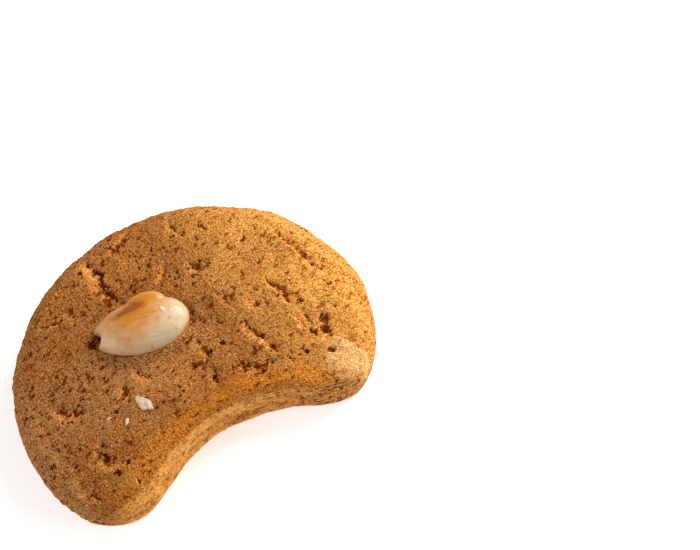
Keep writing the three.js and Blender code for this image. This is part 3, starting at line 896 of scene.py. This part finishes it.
def relief_of(points, normals, share):
    """Height of the relief, depth of the almond's socket and the values that colour the crust."""
    x, y, z = points.T
    noises = crust_noises(points)
    zones = crust_zones(points, normals, noises)
    wall, rim, flour = zones.wall, zones.rim, zones.flour
    torn, depth, furrow, tear_lit_face = tears_and_pits(points, share, zones)
    ledge, ledge_lit_face = ledges_of(points, zones, noises)
    bank, socket, gap = almond_seat(x, y, zones.upward)

    raised = (0.06 + 0.12 * zones.upward) * noises.broad + 0.06 * noises.middling + 0.02 * noises.fine
    raised = raised + 0.07 * zones.edge * noises.ragged + ledge + bank

    # The crust is whole where its opening is below 0. Tears open it, and its firmer zones keep it closed.
    firm = 0.5 * rim + 0.9 * wall + flour + 0.6 * zones.golden
    opening = -1.85 + 0.3 * noises.broad - firm + 2.7 * torn - noises.ragged
    sunk = depth * smoothstep(0, 0.9, opening)
    small_opening = -1.6 + 0.3 * noises.broad - 0.4 * rim - 0.6 * flour - noises.fine
    sunk = sunk + 0.15 * smoothstep(0, 0.5, small_opening)
    sunk = sunk + 0.12 * wall * smoothstep(0, 0.7, -0.9 - noises.layers)

    ruddy = smoothstep(*RUDDY_SPAN, x)
    values = {
        "opening": np.clip(opening, -2, 1.1),
        "dull": np.maximum(in_zone(x, y, DULL_ZONE), smoothstep(*DULL_SPAN, x)),
        # Lighter zones; below the almond painted light that lifts its shadow
        "light": np.maximum.reduce([in_zone(x, y, zone) for zone in LIGHTER_ZONES_AND_SHADOW_LIFT]),
        # Where a contact shadow is painted round the almond
        "gap": np.clip(0.6 * gap, 0, 1),
        # The cut wall's lighter colour, partly its own crumb and partly painted light from the bright
        # table, held back towards +X and a little towards -X as painted shade
        "wall": wall * (1 - 0.75 * smoothstep(*WALL_SHADE_SPAN, x) - 0.2 * smoothstep(*WALL_DIM_SHADE_SPAN, x)),
        "ruddy": wall * ruddy,
        "layered": wall * (0.55 + 0.45 * ruddy),
        # Browner rim, partly painted shade where the crust turns down
        "rim": rim,
        "flour": flour,
        # Ledge faces and tear banks, painted lighter as faces lit by the key lamp
        "face": np.minimum(np.maximum(tear_lit_face, ledge_lit_face), 1),
        "foot": smoothstep(6, 1.5, z) * (1 - wall),
        "golden": zones.golden,
    }
    above_foot = smoothstep(0.2, 2.2, z)
    return (raised - 0.35 * furrow - sunk) * (1 - zones.base) * above_foot, socket, values


def edge_shift(points):
    """How far the edge's unevenness moves each point, most at the foot and not at all on top."""
    x, y, z = points.T
    shift = np.zeros_like(points)
    for place_x, place_y, reach, shift_x, shift_y in EDGE_SHIFTS:
        share = in_zone(x, y, (place_x, place_y, reach, reach))
        shift += share[:, None] * (shift_x, shift_y, 0)
    return shift * smoothstep(*SHIFT_FADE, z)[:, None]


def build_crust():
    points, quads, fan = plain_loaf()
    normals = point_normals(points, quads, fan)
    sheet = (2 * RINGS + 1) ** 2
    share = np.zeros(len(points))
    rows = (len(points) - 1 - sheet) // COLUMNS
    share[sheet:-1] = np.tile(np.arange(COLUMNS) / COLUMNS, rows)
    height, socket, values = relief_of(points, normals, share)
    points = points + normals * height[:, None]
    points[:, 2] = np.maximum(points[:, 2] - socket, 0)
    points = points + edge_shift(points)
    piece = mesh_piece("crust", points, quads.tolist() + fan.tolist(), values, crust_look())
    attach(piece, "root")
    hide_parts("biscuit")


def sphere_grid(slices, sides):
    """A unit sphere with its poles at -X and +X: points and faces."""
    along = np.linspace(0, math.pi, slices + 1)[1:-1]
    around = np.arange(sides) * 2 * math.pi / sides
    u, v = np.meshgrid(along, around, indexing="ij")
    body = np.stack([-np.cos(u), np.sin(u) * np.cos(v), np.sin(u) * np.sin(v)], -1).reshape(-1, 3)
    points = np.concatenate([body, [[-1, 0, 0], [1, 0, 0]]])
    index = np.arange(len(body)).reshape(slices - 1, sides)
    turned = np.roll(index, -1, axis=1)
    quads = np.stack([index[:-1], index[1:], turned[1:], turned[:-1]], -1).reshape(-1, 4)
    tip, end = len(body), len(body) + 1
    fans = [(tip, a, b) for a, b in zip(index[0].tolist(), turned[0].tolist())]
    fans += [(end, b, a) for a, b in zip(index[-1].tolist(), turned[-1].tolist())]
    return points, quads.tolist() + fans


def kernel_points(unit):
    """The almond's surface: a drawn-out sphere with a flap along its far edge and a notch at its tip."""
    full = almond_fullness(unit[:, 0])
    rise = np.where(unit[:, 2] > 0, ALMOND_CROWN, ALMOND_BELLY)
    points = np.column_stack(
        [ALMOND_LENGTH / 2 * unit[:, 0], ALMOND_WIDTH / 2 * full * unit[:, 1], rise * full * unit[:, 2]]
    )
    reach = np.linalg.norm(points, axis=1)
    way = points / reach[:, None]
    a = ((way / FLAP_SIZE) ** 2).sum(1)
    b = (way * FLAP_PLACE / FLAP_SIZE**2).sum(1)
    c = ((FLAP_PLACE / FLAP_SIZE) ** 2).sum() - 1
    root = b * b - a * c
    exit_reach = np.where(root > 0, (b + np.sqrt(np.maximum(root, 0))) / a, 0)
    grown = np.maximum(reach, exit_reach)
    points = way * grown[:, None]
    v = np.clip((points[:, 1] - NOTCH_PLACE[1]) / NOTCH_SIZE[1], -1, 1)
    floor = NOTCH_PLACE[0] + NOTCH_SIZE[0] * np.sqrt(1 - v * v)
    points[:, 0] = np.where(np.abs(v) < 1, np.maximum(points[:, 0], floor), points[:, 0])
    return points


def almond_look():
    look = Look("almond")
    valley_brown, pale, tan, flap = map(look.value, ("valley_brown", "pale", "tan", "flap"))
    blotch = look.band(look.grain(2.2, 4, 0.6), 0.35, 0.7)
    streak = look.band(look.grain(0.45, 3, 0.6, 0.4, (8, 1, 1)), 0.42, 0.66)
    colour = look.mix(srgb(216, 172, 128), srgb(204, 154, 106), blotch)
    colour = look.mix(colour, srgb(206, 180, 144), pale)
    colour = look.mix(colour, srgb(202, 128, 30), tan)
    colour = look.mix(colour, srgb(206, 130, 10), flap)
    colour = look.mix(colour, srgb(148, 72, 0), valley_brown)
    streaked = look.times(streak, look.math("ADD", look.times(tan, 0.3), 0.08))
    colour = look.mix(colour, srgb(158, 88, 32), streaked)
    colour = look.mix(colour, srgb(186, 108, 44), look.times(look.value("dots"), 0.8))
    # Painted shade and bounce light from the crust along the girdle at the blunt end
    colour = look.mix(colour, srgb(196, 124, 52), look.times(look.value("girdle"), 0.7))
    colour = look.mix(colour, srgb(252, 240, 216), look.times(look.value("glint"), 0.8))
    roughness = look.math("ADD", 0.24, look.times(look.band(look.grain(0.7, 3), 0.3, 0.8), 0.3))
    normal = look.bump(look.grain(0.5, 2, 0.5), 0.05)
    normal = look.bump(streak, -0.03, below=normal)
    return look.finish(
        colour,
        roughness,
        normal,
        Specular_IOR_Level=0.28,
        Coat_Weight=0.3,
        Coat_Roughness=0.18,
        Subsurface_Weight=0.1,
        Subsurface_Radius=(1.0, 0.55, 0.3),
        Subsurface_Scale=0.5 * MM,
    )


def build_almond():
    unit, faces = sphere_grid(ALMOND_SLICES, ALMOND_SIDES)
    points = kernel_points(unit)
    x, y, z = points.T
    wave = rough(points, 3.2, 2, 3)
    streak = rough(points * (0.3, 1, 1), 0.9, 2, 9)
    from_tan = np.hypot((x + 0.7) / 7.2, (y - 1.8) / 5.6) - 0.06 * wave - 0.06 * streak
    valley_brown = in_zone(x, y - 0.12 * x, VALLEY_BROWN_ZONE)
    flap = np.exp(-(((x - 2.8) / 4.2) ** 4) - ((y - 4.7) / 1.7) ** 2)
    dots = np.maximum.reduce([in_zone(x, y, (*dot, DOT_SIZE, DOT_SIZE)) for dot in ALMOND_DOTS])
    upper = smoothstep(0, 1, z)
    nick_y = y - ALMOND_NICK[1]
    nick_x = x - ALMOND_NICK[0] + 0.35 * nick_y
    values = {
        "valley_brown": np.clip(valley_brown * (1.3 + 0.15 * wave + 0.3 * streak), 0, 1) * upper,
        "pale": smoothstep(2, 6.5, x - 0.9 * y + 0.4 * wave + 0.3 * streak),
        "tan": 0.95 * smoothstep(1.3, 0.2, from_tan),
        "flap": 0.95 * flap,
        "dots": dots * upper,
        # Where shade and bounce light are painted along the girdle at the blunt end
        "girdle": smoothstep(1.2, 0.3, z) * smoothstep(6.5, 9, x),
        "glint": upper * in_zone(nick_x, nick_y, GLINT_ZONE),
    }
    lip = np.exp(-(((nick_x - 0.5) / 0.35) ** 2)) * smoothstep(0.6, -0.3, nick_y)
    nick = 0.22 * np.exp(-((nick_y / 0.9) ** 2)) * (1.2 * lip - 0.5 * np.exp(-((nick_x / 0.4) ** 2)))
    points = points + (0.025 * wave + upper * nick)[:, None] * unit
    piece = mesh_piece("almond_kernel", points, faces, values, almond_look())
    girdle = float(crust_height(np.array(ALMOND_PLACE[0]), np.array(ALMOND_PLACE[1]))) + ALMOND_RAISED
    place = Matrix.Translation(Vector((*ALMOND_PLACE, girdle)) * MM)
    piece.matrix_world = place @ Matrix.Rotation(ALMOND_HEADING, 4, "Z")
    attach(piece, "root")
    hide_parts("almond")


def chip_look():
    look = Look("nut_chip")
    colour = look.mix(srgb(226, 200, 168), srgb(196, 160, 124), look.band(look.grain(0.7, 3), 0.4, 0.65))
    normal = look.bump(look.grain(0.5, 3, 0.6), 0.15, 0.7)
    return look.finish(colour, look.band(look.grain(0.5, 2), -0.6, 1.2), normal, Subsurface_Weight=0.1)


def build_chips():
    unit, faces = sphere_grid(CHIP_SLICES, CHIP_SIDES)
    all_points, all_faces = [], []
    for chip_x, chip_y, heading, length, width, height in CHIPS:
        lump = unit * (length / 2, width / 2, height / 2)
        bumps = 1 + CHIP_BUMPS * rough(lump + chip_x, 2.2, 2)
        lump = lump * bumps[:, None] * (1, 1, CHIP_FLATTENED)
        lump[:, 1] *= 0.55 + 0.45 * smoothstep(-1, 0.5, unit[:, 0])
        c, s = math.cos(math.radians(heading)), math.sin(math.radians(heading))
        x = chip_x + c * lump[:, 0] - s * lump[:, 1]
        y = chip_y + s * lump[:, 0] + c * lump[:, 1]
        z = crust_height(np.array(chip_x), np.array(chip_y)) + lump[:, 2]
        start = sum(len(p) for p in all_points)
        all_points.append(np.column_stack([x, y, z]))
        all_faces += [tuple(start + i for i in face) for face in faces]
    piece = mesh_piece("nut_chips", np.concatenate(all_points), all_faces, {}, chip_look())
    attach(piece, "root")


def build_floor():
    look = Look("floor")
    colour = look.mix(srgb(250, 250, 250), srgb(244, 244, 244), look.grain(60, 2))
    normal = look.bump(look.grain(0.8, 2), 0.01, 0.2)
    material = look.finish(colour, 0.9, normal, Emission_Color=(1, 1, 1, 1), Emission_Strength=FLOOR_GLOW)
    corners = FLOOR_SIZE * np.array([[-1, -1, 0], [1, -1, 0], [1, 1, 0], [-1, 1, 0]], float)
    mesh = bpy.data.meshes.new("floor")
    mesh.from_pydata((corners * MM).tolist(), [], [(0, 1, 2, 3)])
    mesh.materials.append(material)
    floor = bpy.data.objects.new("floor", mesh)
    bpy.context.scene.collection.objects.link(floor)


def area_light(name, place, size, power, colour):
    light = bpy.data.lights.new(name, "AREA")
    light.shape = "DISK"
    light.size = size * MM
    light.energy = power
    light.color = colour
    lamp = bpy.data.objects.new(name, light)
    lamp.location = Vector(place) * MM
    lamp.rotation_euler = (Vector(LIGHT_TARGET) - Vector(place)).to_track_quat("-Z", "Y").to_euler()
    bpy.context.scene.collection.objects.link(lamp)


def light_studio():
    for row in LIGHTS:
        area_light(*row)
    world = bpy.data.worlds.new("studio")
    world.use_nodes = True
    world.node_tree.nodes["Background"].inputs["Color"].default_value = (1, 1, 1, 1)
    world.node_tree.nodes["Background"].inputs["Strength"].default_value = WORLD_STRENGTH
    bpy.context.scene.world = world
    bpy.context.scene.view_settings.view_transform = "Standard"


def place_camera():
    azimuth, elevation = VIEW_AZIMUTH, VIEW_ELEVATION
    back = Vector(
        (
            math.sin(azimuth) * math.cos(elevation),
            -math.cos(azimuth) * math.cos(elevation),
            math.sin(elevation),
        )
    )
    level = Vector((math.cos(azimuth), math.sin(azimuth), 0))
    upright = back.cross(level)
    right = math.cos(VIEW_ROLL) * level + math.sin(VIEW_ROLL) * upright
    up = back.cross(right)
    focal = VIEW_DISTANCE * VIEW_SCALE
    beside = IMAGE_SIZE[0] / 2 - VIEW_PIXEL[0]
    above = VIEW_PIXEL[1] - IMAGE_SIZE[1] / 2
    turned_back = (back * focal - right * beside - up * above).normalized()
    turned_right = (right - right.dot(turned_back) * turned_back).normalized()
    turned_up = turned_back.cross(turned_right)
    camera = bpy.data.cameras.new("camera")
    camera.sensor_width = SENSOR
    camera.lens = focal * SENSOR / IMAGE_SIZE[0]
    camera.clip_start = 0.01
    holder = bpy.data.objects.new("camera", camera)
    turn = Matrix((turned_right, turned_up, turned_back)).transposed().to_4x4()
    place = (Vector((0, -BOX_Y, 0)) + VIEW_DISTANCE * back) * MM
    holder.matrix_world = Matrix.Translation(place) @ turn
    bpy.context.scene.collection.objects.link(holder)
    bpy.context.scene.camera = holder


build_crust()
build_almond()
build_chips()
build_floor()
light_studio()
place_camera()
